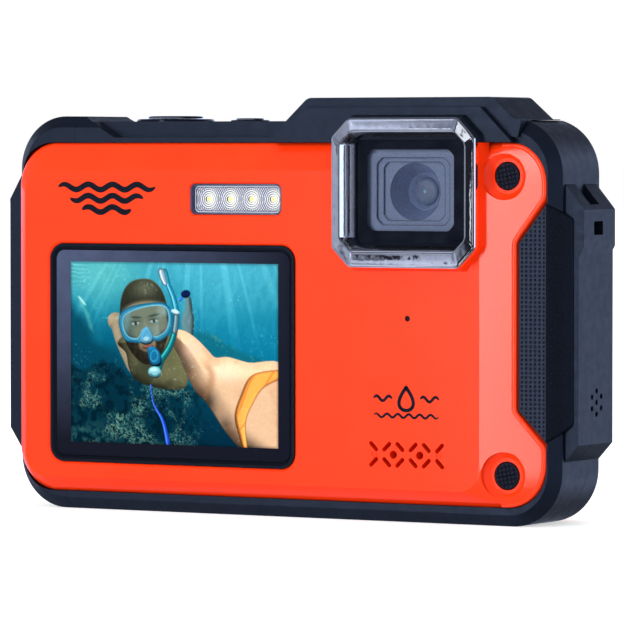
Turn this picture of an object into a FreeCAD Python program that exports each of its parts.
"""Rugged waterproof compact camera with a front and a rear display, one STEP file per piece.

Millimetres, +Z up. The origin is the mouth of the tripod thread, in the middle of the flat
bottom. +X is to the right of someone who looks at the lens; the lens looks along -Y.
Depth is counted from the flat front of the cover plate, towards the back.
"""
import FreeCAD, Part
import math
import os

# Driving dimensions
BODY_W = 104.0          # across the frame, without the side blocks
BODY_H = 66.8           # to the top of the left end bumper
RIGHT_H = 66.0          # to the top of the right end bumper
BODY_D = 23.0           # front plate to rear cover
HALF_W = BODY_W / 2.0
FRONT = -BODY_D / 2.0   # Y of the flat front of the cover plate
DECK_Z = 65.8           # top surface that carries the buttons
RECESS_Z = 63.1         # low lip in front of the buttons
HOOD_Z = 69.6           # top of the hood over the lens
FRAME_R = 9.0           # corner radius of the frame
COVER_X0, COVER_X1 = -51.5, 49.9    # orange front plate
COVER_Z0, COVER_Z1 = 3.1, 62.2
COVER_T = 3.2           # depth of the front plate's rim
PLATE_FALL = 1.6        # how far the plate falls from its raised panel to its rim
FRAME_D0, FRAME_D1 = 1.6, 16.2
FRAME_BEVEL = 1.9       # width of the bevel round the frame's front
RIM_D1 = 18.0           # black step between frame and rear cover
SHOULDER_D = 3.2        # depth where the frame's side face begins
CAVITY_HALF_W = 48.4
CAVITY_Z0, CAVITY_Z1 = 4.8, 60.6
REAR_INSET = 2.8        # rear cover inside the frame's outline, all round
LAND = 1.4              # extra width of the land that carries the rear cover and its seal
BLOCK_X = 54.5          # outer face of the strap block
DOOR_X = 54.85          # outer face of the battery door, to the left
BLOCK_D0, BLOCK_D1 = 3.9, 16.2
LENS_X, LENS_Z = 25.75, 54.2
BEZEL_FRONT_D = -3.1
BOSS_D = -1.8
SCREEN_X0, SCREEN_X1, SCREEN_Z0, SCREEN_Z1 = -44.3, 3.85, 8.1, 45.2
LED_X0, LED_X1, LED_Z0, LED_Z1 = -16.45, 1.25, 50.2, 55.4
LED_MIDDLE, LED_PITCH = -7.275, 4.15
MIC_X, MIC_Z = 25.2, 33.5
GRILLE_X, GRILLE_Z, GRILLE_PITCH = 25.05, 11.2, 2.46
SLOT_HALF, SLOT_R, SLOT_ROW = 0.68, 0.36, 1.28
CAP_X, CAP_Z_TOP, CAP_Z_LOW, CAP_R = 42.7, 56.8, 8.3, 2.25
CAP_D, DISH_R = 1.6, 3.9
SHUTTER_X, SHUTTER_R, SHUTTER_RING_R = -26.1, 5.1, 6.6
POWER_X, POWER_R, POWER_RING_R = -11.4, 2.6, 3.3
KEY_X = -37.2
PAD_Z, ZOOM_Z = 33.0, 52.4
BACK_WALL_D0 = 21.0
PIN_X, PIN_D, PIN_R = -53.45, 14.4, 0.75
EAR_Z, EAR_H = (12.6, 47.7), 2.8
DOOR_Z0, DOOR_Z1 = 15.6, 47.2
SCREW_X, SCREW_Z_LOW, SCREW_Z_TOP = 44.6, 8.2, 57.2
TRIPOD_R, TRIPOD_DEPTH, INSERT_R = 3.175, 5.2, 4.7
GAP = 0.05              # assembly clearance between static pieces


def at(depth):
    """Y of a depth behind the front plate."""
    return FRONT + depth


def corner_arc(before, corner, after, radius):
    """Start, middle and end of the arc that rounds one corner, as (x, z) pairs."""
    def unit(p, q):
        length = math.hypot(q[0] - p[0], q[1] - p[1])
        return (q[0] - p[0]) / length, (q[1] - p[1]) / length
    a = unit(corner, before)
    b = unit(corner, after)
    half = math.acos(max(-1.0, min(1.0, a[0] * b[0] + a[1] * b[1]))) / 2.0
    run = radius / math.tan(half)
    mid = unit((0, 0), (a[0] + b[0], a[1] + b[1]))
    reach = radius / math.sin(half) - radius
    start = (corner[0] + a[0] * run, corner[1] + a[1] * run)
    end = (corner[0] + b[0] * run, corner[1] + b[1] * run)
    middle = (corner[0] + mid[0] * reach, corner[1] + mid[1] * reach)
    return start, middle, end


def wire(corners, place):
    """Closed wire through (u, v, radius) corners; place turns (u, v) into a point."""
    runs = []
    count = len(corners)
    for i, corner in enumerate(corners):
        radius = corner[2] if len(corner) > 2 else 0.0
        if radius > 0:
            runs.append(corner_arc(corners[i - 1], corner, corners[(i + 1) % count], radius))
        else:
            runs.append((corner[:2], None, corner[:2]))
    edges = []
    for i, (start, middle, end) in enumerate(runs):
        if middle:
            edges.append(Part.Arc(place(*start), place(*middle), place(*end)).toShape())
        after = runs[(i + 1) % count][0]
        if math.hypot(after[0] - end[0], after[1] - end[1]) > 1e-6:
            edges.append(Part.makeLine(place(*end), place(*after)))
    return Part.Wire(edges)


def front_wire(corners, depth):
    """Outline in a plane parallel to the front, through (x, z, radius) corners."""
    return wire(corners, lambda x, z: FreeCAD.Vector(x, at(depth), z))


def prism(corners, d0, d1):
    """Outline pushed from depth d0 to depth d1."""
    face = Part.Face(front_wire(corners, d0))
    return face.extrude(FreeCAD.Vector(0, d1 - d0, 0))


def loft(corners0, d0, corners1, d1):
    """Straight transition between two outlines with matching corners."""
    return Part.makeLoft([front_wire(corners0, d0), front_wire(corners1, d1)], True, True)


def plan_prism(corners, z0, z1):
    """Outline of (x, depth, radius) corners pushed from z0 to z1."""
    base = wire(corners, lambda x, d: FreeCAD.Vector(x, at(d), z0))
    return Part.Face(base).extrude(FreeCAD.Vector(0, 0, z1 - z0))


def rect(x0, x1, z0, z1, radius=0.0):
    return [(x0, z0, radius), (x1, z0, radius), (x1, z1, radius), (x0, z1, radius)]


def octagon(x0, x1, z0, z1, top, low=None):
    """Rectangle with cut corners; top and low are (run in x, run in z)."""
    low = low or top
    return [(x0 + low[0], z0), (x1 - low[0], z0), (x1, z0 + low[1]), (x1, z1 - top[1]),
            (x1 - top[0], z1), (x0 + top[0], z1), (x0, z1 - top[1]), (x0, z0 + low[1])]


def inset(corners, d):
    """The same outline moved inwards by d; corners run anticlockwise."""
    lines = []
    count = len(corners)
    for i in range(count):
        p, q = corners[i], corners[(i + 1) % count]
        length = math.hypot(q[0] - p[0], q[1] - p[1])
        ux, uz = (q[0] - p[0]) / length, (q[1] - p[1]) / length
        lines.append((p[0] - uz * d, p[1] + ux * d, ux, uz))
    moved = []
    for i in range(count):
        ax, az, aux, auz = lines[i - 1]
        bx, bz, bux, buz = lines[i]
        cross = aux * buz - auz * bux
        t = ((bx - ax) * buz - (bz - az) * bux) / cross
        radius = corners[i][2] if len(corners[i]) > 2 else 0.0
        if radius > 0:
            radius = max(0.2, radius - d if cross > 0 else radius + d)
        moved.append((ax + aux * t, az + auz * t, radius))
    return moved


def box(x0, x1, d0, d1, z0, z1):
    return Part.makeBox(x1 - x0, d1 - d0, z1 - z0, FreeCAD.Vector(x0, at(d0), z0))


def post(x, z, r, d0, d1, r1=None):
    """Cylinder or cone along Y, from depth d0 to d1."""
    base = FreeCAD.Vector(x, at(d0), z)
    if r1 is None:
        return Part.makeCylinder(r, d1 - d0, base, FreeCAD.Vector(0, 1, 0))
    return Part.makeCone(r, r1, d1 - d0, base, FreeCAD.Vector(0, 1, 0))


def column(x, depth, r, z0, z1):
    """Cylinder along Z."""
    return Part.makeCylinder(r, z1 - z0, FreeCAD.Vector(x, at(depth), z0))


def side_post(depth, z, r, x0, x1):
    """Cylinder along X."""
    return Part.makeCylinder(r, x1 - x0, FreeCAD.Vector(x0, at(depth), z), FreeCAD.Vector(1, 0, 0))


def round_edges(shape, radius, wanted):
    """Fillet the edges that wanted(edge) picks."""
    return shape.makeFillet(radius, [e for e in shape.Edges if wanted(e)])


def on_plane(axis, value):
    """Test for edges that lie in the plane axis = value."""
    def test(edge):
        box_ = edge.BoundBox
        low, high = getattr(box_, axis + "Min"), getattr(box_, axis + "Max")
        return abs(low - value) < 1e-4 and abs(high - value) < 1e-4
    return test


def joined(shapes):
    result = shapes[0].fuse(shapes[1:]) if len(shapes) > 1 else shapes[0]
    return result.removeSplitter()


# Outlines that several pieces share

FRAME = [(-HALF_W, 0.0, FRAME_R), (HALF_W, 0.0, FRAME_R),
         (HALF_W, RIGHT_H, FRAME_R), (-HALF_W, BODY_H, FRAME_R)]
REAR = rect(-HALF_W, HALF_W, 0.0, BODY_H, FRAME_R)
CAVITY = rect(-CAVITY_HALF_W, CAVITY_HALF_W, CAVITY_Z0, CAVITY_Z1, 8.0)
LAND_OUTLINE = rect(-CAVITY_HALF_W + LAND, CAVITY_HALF_W - LAND, CAVITY_Z0 + LAND, CAVITY_Z1 - LAND, 6.6)
PLATE = rect(COVER_X0, COVER_X1, COVER_Z0, COVER_Z1, 6.8)
PLATE_RAISED = rect(-49.2, 38.5, 5.5, 57.6, 4.0)
PLATE_NOTCHED = [(COVER_X0, COVER_Z0, 7.4), (COVER_X1, COVER_Z0, 7.1),
                 (COVER_X1, 13.2, 0.8), (44.95, 18.9, 1.5), (44.95, 46.1, 1.5),
                 (COVER_X1, 53.1, 0.8), (COVER_X1, COVER_Z1, 6.5),
                 (COVER_X0, COVER_Z1, 7.4)]
GRIP_HEX = [(45.1, 18.9), (49.9, 13.8), (53.7, 16.7), (53.7, 49.95), (49.9, 52.3), (45.1, 46.0)]
GRIP_SECTION = [(45.1, 0.95), (49.8, 1.4), (52.5, 2.9), (53.5, 3.45), (53.7, 3.85),
                (50.6, 3.85), (49.4, 3.15), (45.1, 3.15)]
HOOD_FACE = [(-0.6, 62.25), (44.6, 62.25), (38.8, 68.0, 0.6), (5.9, 68.0, 0.6)]
HOOD_CAP = [(-1.2, RECESS_Z), (45.0, RECESS_Z), (45.7, 66.0), (44.4, 66.0),
            (40.2, HOOD_Z, 1.5), (5.9, HOOD_Z, 2.0)]
HOOD_D1 = 14.6


def lens_outline(grow):
    """Cut-corner rectangle of the lens surround, grown on every side."""
    return octagon(LENS_X - 13.4 - grow, LENS_X + 13.4 + grow, 41.7 - grow, 66.4 + grow,
                   (3.1 + 0.4 * grow, 3.1 + 0.4 * grow), (3.2 + 0.4 * grow, 4.0 + 0.4 * grow))


def lens_boss():
    return loft(lens_outline(0.0), BOSS_D, lens_outline(0.6), 1.0)


def lens_opening():
    return prism(lens_outline(-1.0), BOSS_D - 1.0, COVER_T + 2.0)


def grip_pad_solid(gap=0.0):
    """Section of the pad swept up, trimmed to its six-sided outline."""
    section = [(x - gap if x < 46 else x + gap, d + gap if d > 3 else d - 3 * gap)
               for x, d in GRIP_SECTION]
    swept = plan_prism(section, 13.0, 53.0)
    return swept.common(prism(inset(GRIP_HEX, -gap) if gap else GRIP_HEX, -1.0, 5.0))


# Body shells

def front_cover():
    hill = loft(PLATE_RAISED, 0.0, PLATE, PLATE_FALL)
    hill = joined([hill, prism(PLATE, PLATE_FALL, COVER_T)])
    trim = joined([loft(inset(PLATE_NOTCHED, 1.6), -0.2, PLATE_NOTCHED, 2.2),
                   prism(PLATE_NOTCHED, 2.2, COVER_T)])
    plate = hill.common(trim)
    lower_boss = lens_boss().common(box(0, 50, BOSS_D - 1, 2, 30, COVER_Z1))
    plate = joined([plate, lower_boss])
    screen = rect(SCREEN_X0, SCREEN_X1, SCREEN_Z0, SCREEN_Z1, 2.7)
    lamp = rect(LED_X0, LED_X1, LED_Z0, LED_Z1, 1.1)
    cuts = [lens_opening(), prism(screen, -1, COVER_T + 1), prism(lamp, -1, COVER_T + 1)]
    cuts.append(loft(inset(screen, -0.45), -0.05, screen, 0.4))
    cuts.append(loft(inset(lamp, -0.3), -0.05, lamp, 0.3))
    cuts.append(post(MIC_X, MIC_Z, 0.5, -1, COVER_T + 1))
    cuts.extend(grille_cuts())
    for z in (CAP_Z_TOP, CAP_Z_LOW):
        cuts.append(post(CAP_X, z, DISH_R, -0.2, 0.9))
        cuts.append(post(CAP_X, z, DISH_R, 0.9, 1.75, 2.9))
        cuts.append(post(CAP_X, z, CAP_R + 0.1, -1, COVER_T + 1))
    cuts.append(grip_pad_solid(GAP))
    inner = rect(COVER_X0 + 3, 41.5, COVER_Z0 + 3, COVER_Z1 - 3, 4.0)
    cuts.append(prism(inner, 2.2, COVER_T + 1))
    return plate.cut(cuts)


def grille_cuts():
    """Front loudspeaker grille: two round holes, two ring dimples and two rows of slanted slots."""
    cuts = []
    for side in (-1, 1):
        cuts.append(post(GRILLE_X + side * GRILLE_PITCH, GRILLE_Z, 0.68, -1, COVER_T + 1))
        dimple_x = GRILLE_X + side * 2.42 * GRILLE_PITCH
        groove = post(dimple_x, GRILLE_Z, 0.52, -1, 0.14).cut(post(dimple_x, GRILLE_Z, 0.34, -1, 1))
        cuts.append(groove)
    ends = [post(x, 0, SLOT_R, -1, COVER_T + 1) for x in (-SLOT_HALF, SLOT_HALF)]
    slot = joined([box(-SLOT_HALF, SLOT_HALF, -1, COVER_T + 1, -SLOT_R, SLOT_R)] + ends)
    for row in (-1, 1):
        for i in range(6):
            lean = 45 if (i % 2 == 0) == (row > 0) else -45
            cut = slot.copy()
            cut.rotate(FreeCAD.Vector(0, 0, 0), FreeCAD.Vector(0, 1, 0), lean)
            x = GRILLE_X + (i - 2.5) * GRILLE_PITCH
            cut.translate(FreeCAD.Vector(x, 0, GRILLE_Z + row * SLOT_ROW))
            cuts.append(cut)
    return cuts


def frame_block():
    """Frame and end bumpers as one lump, before it is divided."""
    body = joined([loft(inset(FRAME, FRAME_BEVEL), FRAME_D0, FRAME, SHOULDER_D),
                   prism(FRAME, SHOULDER_D, FRAME_D1)])
    body = joined([body, prism(inset(REAR, 1.4), FRAME_D1, RIM_D1)])
    deck = [(46.4, DECK_Z), (46.4, 68.0), (-41.3, 68.0), (-37.2, DECK_Z)]
    recess = [(46.4, 68.0), (-39.4, 68.0), (-38.5, BODY_H), (-32.3, RECESS_Z), (45.1, RECESS_Z)]
    pocket = prism(inset(PLATE, -GAP), -1, COVER_T + GAP)
    cuts = [prism(deck[::-1], -1, RIM_D1 + 1), prism(recess, -1, 4.5), pocket]
    bosses = [post(x, z, 3.0, 5.0, RIM_D1) for x, z in screw_places()]
    bosses.extend(post(CAP_X, z, 2.8, COVER_T + GAP, 9.0) for z in (CAP_Z_TOP, CAP_Z_LOW))
    hollow = joined([prism(CAVITY, 0, FRAME_D1), prism(LAND_OUTLINE, FRAME_D1 - 1, RIM_D1 + 1)])
    cuts.append(hollow.cut(bosses))
    cuts.append(grip_pad_solid(GAP))
    cuts.append(case_seal())
    cuts.append(column(0, BODY_D / 2.0, INSERT_R, -1, CAVITY_Z0 + 1))
    cuts.extend(button_wells())
    cuts.append(box(-HALF_W - 1, -CAVITY_HALF_W + 2, 5.0, 15.2, DOOR_Z0, DOOR_Z1))
    cuts.append(prism(lens_outline(-1.0), 0, 4.5))
    for z in (CAP_Z_TOP, CAP_Z_LOW):
        cuts.append(post(CAP_X, z, 1.75, 3.0, 4.4))
        cuts.append(post(CAP_X, z, 0.8, 3.0, 8.0))
    cuts.append(side_post(10.4, 20.1, 2.4, CAVITY_HALF_W - 2, HALF_W + 1))
    for x, z in screw_places():
        cuts.append(post(x, z, 0.8, 9.5, RIM_D1 + 1))
    return body.cut(cuts)


def screw_places():
    return [(side * SCREW_X, z) for side in (-1, 1) for z in (SCREW_Z_LOW, SCREW_Z_TOP)]


def bumper_zone(side):
    """Space outside the structural ring, at one end."""
    if side > 0:
        edge = [(41.6, -1), (60, -1), (60, 70), (46.9, 70), (45.1, 63.0), (44.9, 58), (42.2, 6)]
    else:
        edge = [(-60, -1), (-41.6, -1), (-42.2, 6), (-41, 58), (-39.4, 68), (-39.4, 70), (-60, 70)]
    zone = prism(edge, -2, FRAME_D1)
    return zone.cut(prism(inset(FRAME, 1.9), COVER_T + 0.8, FRAME_D1 + 1))


def mid_frame():
    body = frame_block()
    return body.cut([bumper_zone(1), bumper_zone(-1)])


def end_bumper(side):
    piece = frame_block().common(bumper_zone(side))
    return max(piece.Solids, key=lambda s: s.Volume)


def lens_hood():
    face = prism(HOOD_FACE, -0.4, 4.5)
    cap = prism(HOOD_CAP, 0.9, HOOD_D1)
    keep = prism([(-5, RECESS_Z + GAP), (60, RECESS_Z + GAP), (60, 80), (-5, 80)],
                 FRAME_D0 - GAP, 4.5)
    above = prism([(-5, DECK_Z + GAP), (60, DECK_Z + GAP), (60, 80), (-5, 80)], 4.5, HOOD_D1)
    front = prism([(-5, COVER_Z1 + GAP), (60, COVER_Z1 + GAP), (60, 80), (-5, 80)],
                  -3.0, FRAME_D0 - GAP)
    boss = lens_boss()
    body = joined([face, cap, boss]).common(joined([keep, above, front]))
    beside = prism([(45.0, 62.0), (60, 62.0), (60, 80), (49.3, 80)], -3, HOOD_D1 + 1)
    return body.cut([lens_opening(), beside])


def rear_cover():
    shell = prism(inset(REAR, REAR_INSET), RIM_D1, BODY_D)
    shell = round_edges(shell, 3.2, on_plane("Y", at(BODY_D)))
    bosses = [post(x, z, 2.6, RIM_D1, BACK_WALL_D0) for x, z in screw_places()]
    cuts = [prism(LAND_OUTLINE, RIM_D1 - 1, BACK_WALL_D0).cut(bosses)]
    cuts.append(prism(rear_panel_outline(GAP), BACK_WALL_D0 + 1.0, BODY_D + 1))
    cuts.append(prism(rear_screen_outline(-1.0), BACK_WALL_D0 - 1, BODY_D))
    cuts.extend(key_shape(name, 0.25, BACK_WALL_D0 - 1, BODY_D) for name in KEYS)
    for x, z in screw_places():
        cuts.append(post(x, z, 0.9, RIM_D1 - 1, BODY_D + 1))
        cuts.append(post(x, z, 1.75, BACK_WALL_D0, BODY_D + 1))
    pin_x0, pin_x1 = KEY_X - 0.62, KEY_X + 0.62
    cuts.append(box(pin_x0, pin_x1, 20.0, BACK_WALL_D0 + 0.82, ZOOM_Z - 3.55, ZOOM_Z + 3.55))
    return shell.cut(cuts)


def rear_panel_outline(grow=0.0):
    return inset(rect(-45.2, 45.2, 5.6, 59.2, 10.0), -grow)


def rear_screen_outline(grow=0.0):
    return inset(rect(-25.4, 41.4, 7.3, 57.4, 2.0), -grow)


def rear_panel():
    """Black trim plate around the rear display and the keys."""
    plate = prism(rear_panel_outline(), BACK_WALL_D0 + 1.0, BODY_D + 0.3)
    plate = round_edges(plate, 0.5, on_plane("Y", at(BODY_D + 0.3)))
    cuts = [prism(rear_screen_outline(GAP), BACK_WALL_D0, BODY_D + 1)]
    cuts.extend(key_shape(name, 0.2, BACK_WALL_D0, BODY_D + 2) for name in KEYS)
    return plate.cut(cuts)


# Keys on the back: name, x, z and half sizes; round keys give a radius only
KEYS = {
    "zoom_rocker": (KEY_X, ZOOM_Z, 6.6, 2.5),
    "mode_key": (KEY_X - 4.2, 44.6, 2.4, None),
    "playback_key": (KEY_X + 4.2, 44.6, 2.4, None),
    "direction_pad": (KEY_X, PAD_Z, 7.4, None),
    "menu_key": (KEY_X - 4.2, 18.4, 2.4, None),
    "delete_key": (KEY_X + 4.2, 18.4, 2.4, None),
}
OK_R = 3.1


def key_shape(name, grow, d0, d1):
    """Plan of one key, grown all round, from depth d0 to d1."""
    x, z, half, tall = KEYS[name]
    if tall is None:
        return post(x, z, half + grow, d0, d1)
    return prism(rect(x - half - grow, x + half + grow, z - tall - grow, z + tall + grow,
                      tall - 0.1 + grow), d0, d1)


def round_key(name):
    """Key cap with a wider skirt inside the case."""
    x, z, half, _ = KEYS[name]
    cap = post(x, z, half, BACK_WALL_D0 - 0.6, BODY_D + 0.9)
    cap = round_edges(cap, 0.5, on_plane("Y", at(BODY_D + 0.9)))
    skirt = post(x, z, half + 0.7, BACK_WALL_D0 - 0.95, BACK_WALL_D0 - 0.25)
    return joined([cap, skirt])


def direction_pad():
    x, z, half, _ = KEYS["direction_pad"]
    ring = post(x, z, half, BACK_WALL_D0 - 0.6, BODY_D + 1.0)
    ring = round_edges(ring, 0.7, on_plane("Y", at(BODY_D + 1.0)))
    skirt = post(x, z, half + 0.5, BACK_WALL_D0 - 0.95, BACK_WALL_D0 - 0.5)
    dish = Part.makeSphere(24.0, FreeCAD.Vector(x, at(BODY_D + 0.55) + 24.0, z))
    return joined([ring, skirt]).cut([post(x, z, OK_R + 0.2, 0, BODY_D + 2), dish])


def ok_key():
    x, z, _, _ = KEYS["direction_pad"]
    cap = post(x, z, OK_R, BACK_WALL_D0 - 0.95, BODY_D + 0.95)
    return round_edges(cap, 0.5, on_plane("Y", at(BODY_D + 0.95)))


def zoom_rocker():
    x, z, half, tall = KEYS["zoom_rocker"]
    outline = rect(x - half, x + half, z - tall, z + tall, tall - 0.1)
    bar = prism(outline, BACK_WALL_D0 + 0.2, BODY_D + 1.3)
    bar = round_edges(bar, 0.5, on_plane("Y", at(BODY_D + 1.3)))
    dip = Part.makeCylinder(9.0, 20, FreeCAD.Vector(x, at(BODY_D + 0.8) + 9.0, z - 10))
    hub = Part.makeCylinder(1.5, 3.0, FreeCAD.Vector(x, at(BACK_WALL_D0 + 0.2), z - 1.5))
    bore = Part.makeCylinder(0.65, 20, FreeCAD.Vector(x, at(BACK_WALL_D0 + 0.2), z - 10))
    feet = [post(x + side * 4.5, z, 1.2, 20.0, BACK_WALL_D0 + 0.4) for side in (-1, 1)]
    return joined([bar, hub] + feet).cut([dip, bore])


def rocker_pin():
    return Part.makeCylinder(0.6, 7.0, FreeCAD.Vector(KEY_X, at(BACK_WALL_D0 + 0.2), ZOOM_Z - 3.5))


# Grip, caps, side pieces

def grip_pad():
    return grip_pad_solid()


def screw_caps():
    """Two rubber plugs over the front screws."""
    caps = []
    for z in (CAP_Z_TOP, CAP_Z_LOW):
        plug = post(CAP_X, z, CAP_R, CAP_D, COVER_T)
        caps.append(round_edges(plug, 0.3, on_plane("Y", at(CAP_D))))
    return Part.Compound(caps)


def strap_block():
    """Right side block: eyelet for a hand strap above, sound holes below."""
    seat_x, bar_x = HALF_W + GAP, BLOCK_X + 1.0
    lower = prism([(seat_x, 10.65), (BLOCK_X, 13.4), (BLOCK_X, 45.0), (seat_x, 45.0)],
                  BLOCK_D0, BLOCK_D1)
    upper = prism([(seat_x, 42.0), (BLOCK_X, 43.7), (bar_x, 45.5), (bar_x, 51.4),
                   (seat_x, 55.5)], BLOCK_D0, BLOCK_D1 - 1.2)
    body = joined([lower, upper])
    cuts = [box(seat_x - 1, bar_x - 0.7, 7.4, 10.6, 47.3, 57.0),
            box(seat_x - 1, bar_x + 1, 7.4, 10.6, 47.3, 49.5)]
    cuts.extend(flower_holes(50, 57))
    return body.cut(cuts)


def flower_holes(x0, x1):
    places = [(10.4, 20.1)]
    for i in range(6):
        turn = math.radians(60 * i)
        places.append((10.4 + 1.9 * math.sin(turn), 20.1 + 1.9 * math.cos(turn)))
    return [side_post(d, z, 0.45, x0, x1) for d, z in places]


def battery_door():
    """Left side block, hinged along its rear edge."""
    body = prism([(-HALF_W - GAP, 57.4), (-DOOR_X, 52.6), (-DOOR_X, 13.4), (-HALF_W - GAP, 9.2)],
                 BLOCK_D0, BLOCK_D1 - 0.4)
    round_r = -PIN_X - HALF_W - GAP
    rear = box(-60, -40, PIN_D, 20, 0, 60).cut(column(PIN_X, PIN_D, round_r, 0, 60))
    cuts = [rear, column(PIN_X, PIN_D, PIN_R + 0.05, 0, 60)]
    for z in EAR_Z:
        cuts.append(box(-60, -40, PIN_D - 1.75, 20, z - 0.15, z + EAR_H + 0.15))
    cuts.append(box(-DOOR_X - 1, -DOOR_X + 0.8, 6.4, 12.0, 41.5, 50.5))
    return body.cut(cuts)


def hinge_ears():
    """Two ears on the left bumper that hold the door's pin."""
    ears = []
    for z in EAR_Z:
        ear = joined([column(PIN_X, PIN_D, 1.3, z, z + EAR_H),
                      box(PIN_X, -HALF_W + 0.3, PIN_D - 1.0, PIN_D + 1.0, z, z + EAR_H)])
        ears.append(ear.cut(column(PIN_X, PIN_D, PIN_R, 0, 60)))
    return ears


def end_bumper_left():
    return joined([end_bumper(-1)] + hinge_ears())


def hinge_pin():
    return column(PIN_X, PIN_D, PIN_R, 12.4, 51.8)


def door_latch():
    """Slider in a shallow recess of the door."""
    slide = box(-DOOR_X - 0.7, -DOOR_X + 0.75, 6.5, 11.9, 44.6, 50.4)
    ribs = [box(-DOOR_X - 1.2, -DOOR_X - 0.65, 6.9, 11.5, z, z + 0.6)
            for z in (45.6, 46.9, 48.2, 49.5)]
    return joined([slide] + ribs)


def door_seal():
    low, high = DOOR_Z0 + 0.4, DOOR_Z1 - 0.4
    outline = [(5.4, low, 1.5), (14.8, low, 1.5), (14.8, high, 1.5), (5.4, high, 1.5)]

    def ring(d):
        inner = inset(outline, d)
        base = wire(inner, lambda a, z: FreeCAD.Vector(-HALF_W - GAP, at(a), z))
        return Part.Face(base).extrude(FreeCAD.Vector(1.2, 0, 0))
    return ring(0.0).cut(ring(0.9))


# Lens

def lens_bezel():
    crest_in = octagon(LENS_X - 11.5, LENS_X + 11.6, 44.5, 64.2, (2.2, 2.2))
    seat_in = octagon(LENS_X - 10.2, LENS_X + 10.3, 45.8, 62.8, (0.8, 0.8))
    outer = loft(lens_outline(-0.5), BEZEL_FRONT_D, lens_outline(0.0), BEZEL_FRONT_D + 0.6)
    outer = joined([outer, prism(lens_outline(0.0), BEZEL_FRONT_D + 0.6, BOSS_D)])
    sleeve = prism(lens_outline(-1.0 - GAP), BOSS_D, 1.6)
    bore = loft(crest_in, BEZEL_FRONT_D, seat_in, -0.1)
    lead = loft(inset(crest_in, -0.5), BEZEL_FRONT_D - 0.01, crest_in, BEZEL_FRONT_D + 0.5)
    return joined([outer, sleeve]).cut([bore, lead, prism(window_outline(GAP), -0.1, 3.0)])


def window_outline(grow=0.0):
    return octagon(LENS_X - 10.9 - grow, LENS_X + 10.9 + grow, 44.9 - grow, 63.5 + grow, (1.4, 1.4))


def lens_window():
    return prism(window_outline(), -0.1 + GAP, 0.9)


def lens_baffle():
    """Grey stepped mask with a conical throat."""
    mask = prism(window_outline(), 0.95, 2.2)
    body = joined([mask, post(LENS_X, LENS_Z, 6.0, 2.2, 5.0)])
    steps = [prism(octagon(LENS_X - 6.75, LENS_X + 6.75, 48.8, 59.7, (1.0, 1.0)), 0.5, 1.35),
             prism(octagon(LENS_X - 5.65, LENS_X + 5.65, 49.5, 59.0, (0.9, 0.9)), 0.5, 1.7),
             post(LENS_X, LENS_Z, 4.7, 1.7, 5.0, 3.1), post(LENS_X, LENS_Z, 3.1, 4.0, 6.0)]
    return body.cut(steps)


def lens_barrel():
    body = post(LENS_X, LENS_Z, 5.2, 5.0, 12.0)
    throat = post(LENS_X, LENS_Z, 2.9, 5.0, 6.3, 1.5)
    return body.cut([throat, post(LENS_X, LENS_Z, 4.3, 6.3, 12.5)])


def lens_element(d0, front_r, back_r, thick):
    """Glass disc with a domed front and back."""
    disc = post(LENS_X, LENS_Z, 4.25, d0, d0 + thick)
    front = Part.makeSphere(front_r, FreeCAD.Vector(LENS_X, at(d0) + front_r, LENS_Z))
    back = Part.makeSphere(back_r, FreeCAD.Vector(LENS_X, at(d0 + thick) - back_r, LENS_Z))
    return disc.common(front).common(back)


def sensor_board():
    return box(LENS_X - 9, LENS_X + 9, 13.0, 13.6, LENS_Z - 6.3, LENS_Z + 6.3)


def image_sensor():
    return box(LENS_X - 4, LENS_X + 4, 12.1, 13.0, LENS_Z - 3.2, LENS_Z + 3.2)


# Lamp

def led_window():
    return prism(rect(LED_X0 + 0.05, LED_X1 - 0.05, LED_Z0 + 0.05, LED_Z1 - 0.05, 1.05), 1.2, 1.9)


def led_reflector():
    tub = prism(rect(LED_X0 + 0.05, LED_X1 - 0.05, LED_Z0 + 0.05, LED_Z1 - 0.05, 1.05), 1.95, 4.6)
    cups = [post(x, led_z(), 1.95, 1.9, 4.1, 1.2) for x in led_xs()]
    wells = [post(x, led_z(), 1.2, 3.9, 5.0) for x in led_xs()]
    return tub.cut(cups + wells)


def led_z():
    return (LED_Z0 + LED_Z1) / 2.0


def led_xs():
    return [LED_MIDDLE + (i - 1.5) * LED_PITCH for i in range(4)]


def leds():
    """Four lamps in one group."""
    lamps = []
    for x in led_xs():
        base = box(x - 0.8, x + 0.8, 4.0, 4.6, led_z() - 0.8, led_z() + 0.8)
        dome = post(x, led_z(), 0.65, 3.75, 4.0)
        lamps.append(joined([base, dome]))
    return Part.Compound(lamps)


def led_board():
    return box(LED_X0, LED_X1, 4.6, 5.4, LED_Z0 - 0.8, LED_Z1 + 0.6)


# Displays

def front_display_gasket():
    outer = rect(SCREEN_X0 + GAP, SCREEN_X1 - GAP, SCREEN_Z0 + GAP, SCREEN_Z1 - GAP, 2.65)
    body = prism(outer, 0.15, 2.2)
    lip = loft(inset(outer, 0.4), 0.1, inset(outer, 1.05), 0.6)
    return body.cut([lip, prism(inset(outer, 1.05), 0.1, 2.5)])


def front_display_glass():
    outline = inset(rect(SCREEN_X0, SCREEN_X1, SCREEN_Z0, SCREEN_Z1, 2.7), 1.15)
    return prism(outline, 0.5, 1.6)


def front_display_panel():
    return box(SCREEN_X0 + 0.8, SCREEN_X1 - 0.8, 2.25, 4.4, SCREEN_Z0 + 0.6, SCREEN_Z1 - 0.6)


def rear_display_glass():
    return prism(rear_screen_outline(), BACK_WALL_D0 + 1.0, BODY_D + 0.25)


def rear_display_panel():
    return box(-24.0, 40.8, 18.4, BACK_WALL_D0 - GAP, 8.4, 56.4)


# Top buttons

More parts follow.
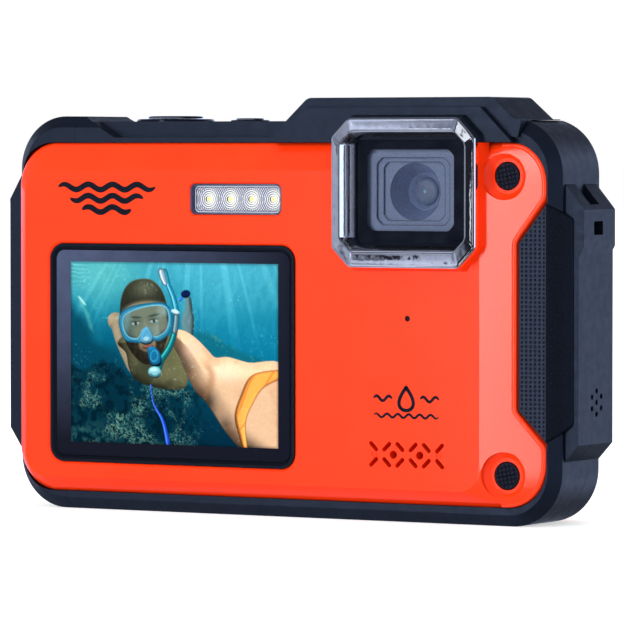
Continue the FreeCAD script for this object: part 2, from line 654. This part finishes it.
def button_wells():
    cuts = []
    middle = BODY_D / 2.0
    for x, ring_r, cap_r, well_r in ((SHUTTER_X, SHUTTER_RING_R, 5.3, 3.8),
                                     (POWER_X, POWER_RING_R, 2.8, 2.2)):
        cuts.append(column(x, middle, ring_r + GAP, 64.6, 70))
        cuts.append(column(x, middle, cap_r, 63.6, 70))
        cuts.append(column(x, middle, well_r, 61.9, 70))
        cuts.append(column(x, middle, 1.25, 55, 70))
    return cuts


def shutter_ring():
    middle = BODY_D / 2.0
    ring = column(SHUTTER_X, middle, SHUTTER_RING_R, 64.6, 66.25)
    ring = round_edges(ring, 0.35, on_plane("Z", 66.25))
    return ring.cut(column(SHUTTER_X, middle, 5.3, 60, 70))


def power_ring():
    middle = BODY_D / 2.0
    ring = column(POWER_X, middle, POWER_RING_R, 64.6, 66.05)
    ring = round_edges(ring, 0.2, on_plane("Z", 66.05))
    return ring.cut(column(POWER_X, middle, 2.8, 60, 70))


def top_button(x, radius, top, dome):
    """Button cap on a stem; the top edge is rounded."""
    middle = BODY_D / 2.0
    cap = column(x, middle, radius, 64.5, top)
    cap = round_edges(cap, dome, on_plane("Z", top))
    return joined([cap, column(x, middle, 1.15, 59.4, 64.5)])


def coil(x, radius, z0, z1, turns, wire_r):
    """Compression spring around a button stem."""
    low, high = z0 + wire_r, z1 - wire_r
    helix = Part.makeHelix((high - low) / turns, high - low, radius)
    section = Part.makeCircle(wire_r, FreeCAD.Vector(radius, 0, 0), FreeCAD.Vector(0, 1, 0))
    spring = Part.Wire(helix.Edges).makePipeShell([Part.Wire([section])], True, True)
    spring.translate(FreeCAD.Vector(x, at(BODY_D / 2.0), low))
    return spring


def button_switches():
    """Two dome switches on one small board under the top wall."""
    middle = BODY_D / 2.0
    board = box(SHUTTER_X - 4, POWER_X + 4, middle - 3, middle + 3, 57.0, 57.8)
    domes = [column(x, middle, 1.6, 57.8, 58.8) for x in (SHUTTER_X, POWER_X)]
    return joined([board] + domes)


# Inside

def runs_along_x(edge):
    return abs(edge.tangentAt(edge.FirstParameter).x) > 0.9


def battery():
    cell = box(-49.0, -11.0, 5.6, 11.2, 16.5, 46.3)
    return cell.makeFillet(0.8, [e for e in cell.Edges if runs_along_x(e)])


def battery_tray():
    outer = box(-CAVITY_HALF_W + 0.2, -9.0, 4.9, 12.0, 15.8, 47.0)
    return outer.cut(box(-60, -10.2, 5.5, 11.3, 16.4, 46.4))


def memory_card():
    return box(-48.0, -33.0, 13.2, 13.9, 18.0, 29.0)


def card_socket():
    body = box(-47.0, -32.0, 12.1, 14.6, 17.0, 30.0)
    return body.cut(box(-60, -32.8, 13.15, 13.95, 17.95, 29.05))


def usb_port():
    shell = box(-48.2, -41.0, 12.1, 15.1, 33.0, 42.0)
    shell = shell.makeFillet(1.3, [e for e in shell.Edges if runs_along_x(e)])
    mouth = box(-49, -42.0, 12.5, 14.7, 33.4, 41.6)
    return joined([shell.cut(mouth), box(-47.4, -42.0, 13.3, 13.9, 35.0, 40.0)])


def main_board():
    board = box(-46.0, 46.5, 15.2, 16.2, 11.5, 58.0)
    return board.cut([post(x, z, 3.3, 10, 20) for x, z in screw_places()])


def key_membrane():
    sheet = box(-46.0, -28.2, 16.25, 18.5, 13.0, 58.0)
    sheet = sheet.cut([post(x, z, 3.3, 10, 20) for x, z in screw_places()])
    domes = [post(x, z, 1.5, 18.5, 19.6, 1.0) for x, z in key_dome_places()]
    return joined([sheet] + domes)


def key_dome_places():
    x, z = KEYS["direction_pad"][:2]
    places = [key[:2] for key in KEYS.values() if key[3] is None]
    places.extend((x + side * 6.0, z) for side in (-1, 1))
    places.extend((x, z + side * 6.0) for side in (-1, 1))
    places.extend((KEY_X + side * 4.5, ZOOM_Z) for side in (-1, 1))
    return places


def case_seal():
    """Gasket in a groove of the frame, pressed by the rear cover."""
    ring = prism(inset(CAVITY, 0.1), RIM_D1 - 0.5, RIM_D1)
    return ring.cut(prism(inset(CAVITY, 0.7), 0, BODY_D))


def tripod_insert():
    middle = BODY_D / 2.0
    cup = column(0, middle, INSERT_R, 0, 6.6)
    return cup.cut(column(0, middle, TRIPOD_R, -1, TRIPOD_DEPTH))


def side_speaker():
    return side_post(10.4, 20.1, 4.5, 44.0, 47.0)


def front_speaker():
    return post(GRILLE_X, GRILLE_Z + 1.5, 4.5, COVER_T + 1, COVER_T + 4)


def microphone():
    return post(MIC_X, MIC_Z, 2.0, 2.3, 4.6)


def case_screws():
    """Four screws that hold the rear cover to the frame."""
    return Part.Compound([screw(x, z, BACK_WALL_D0, 1) for x, z in screw_places()])


def screw(x, z, seat, way):
    """Cross-head screw whose head stands on the seat depth; way is +1 when the head faces back."""
    head = post(x, z, 1.6, 0, 1.1)
    cross = [box(x - a, x + a, 0.5, 2, z - b, z + b) for a, b in ((0.9, 0.22), (0.22, 0.9))]
    shank = post(x, z, 0.75, -10.0 if way > 0 else -3.5, 0)
    piece = joined([head, shank]).cut(cross)
    if way < 0:
        piece = piece.mirror(FreeCAD.Vector(0, FRONT, 0), FreeCAD.Vector(0, 1, 0))
    piece.translate(FreeCAD.Vector(0, seat, 0))
    return piece


def front_screws():
    """Two screws that hold the front cover, hidden under the rubber plugs."""
    return Part.Compound([screw(CAP_X, z, 4.38, -1) for z in (CAP_Z_TOP, CAP_Z_LOW)])


PIECES = {
    "front_cover": front_cover,
    "mid_frame": mid_frame,
    "end_bumper_left": end_bumper_left,
    "end_bumper_right": lambda: end_bumper(1),
    "lens_hood": lens_hood,
    "rear_cover": rear_cover,
    "rear_panel": rear_panel,
    "grip_pad": grip_pad,
    "screw_caps": screw_caps,
    "strap_block": strap_block,
    "battery_door": battery_door,
    "hinge_pin": hinge_pin,
    "door_latch": door_latch,
    "door_seal": door_seal,
    "lens_bezel": lens_bezel,
    "lens_window": lens_window,
    "lens_baffle": lens_baffle,
    "lens_barrel": lens_barrel,
    "lens_front_element": lambda: lens_element(6.35, 7.0, 14.0, 1.9),
    "lens_rear_element": lambda: lens_element(9.0, 12.0, 6.5, 1.8),
    "image_sensor": image_sensor,
    "sensor_board": sensor_board,
    "led_window": led_window,
    "led_reflector": led_reflector,
    "leds": leds,
    "led_board": led_board,
    "front_display_gasket": front_display_gasket,
    "front_display_glass": front_display_glass,
    "front_display_panel": front_display_panel,
    "rear_display_glass": rear_display_glass,
    "rear_display_panel": rear_display_panel,
    "shutter_button": lambda: top_button(SHUTTER_X, SHUTTER_R, 66.75, 0.6),
    "shutter_ring": shutter_ring,
    "shutter_spring": lambda: coil(SHUTTER_X, 2.6, 61.9, 64.5, 3, 0.25),
    "power_button": lambda: top_button(POWER_X, POWER_R, 66.35, 0.4),
    "power_ring": power_ring,
    "power_spring": lambda: coil(POWER_X, 1.75, 61.9, 64.5, 3, 0.2),
    "button_switches": button_switches,
    "zoom_rocker": zoom_rocker,
    "rocker_pin": rocker_pin,
    "mode_key": lambda: round_key("mode_key"),
    "playback_key": lambda: round_key("playback_key"),
    "direction_pad": direction_pad,
    "ok_key": ok_key,
    "menu_key": lambda: round_key("menu_key"),
    "delete_key": lambda: round_key("delete_key"),
    "case_seal": case_seal,
    "key_membrane": key_membrane,
    "battery": battery,
    "battery_tray": battery_tray,
    "memory_card": memory_card,
    "card_socket": card_socket,
    "usb_port": usb_port,
    "main_board": main_board,
    "tripod_insert": tripod_insert,
    "side_speaker": side_speaker,
    "front_speaker": front_speaker,
    "microphone": microphone,
    "case_screws": case_screws,
    "front_screws": front_screws,
}


def main():
    os.makedirs("parts", exist_ok=True)
    for name, make in PIECES.items():
        shape = make()
        if len(shape.Solids) == 1:
            shape = shape.Solids[0]
        shape.exportStep(os.path.join("parts", name + ".step"))


main()
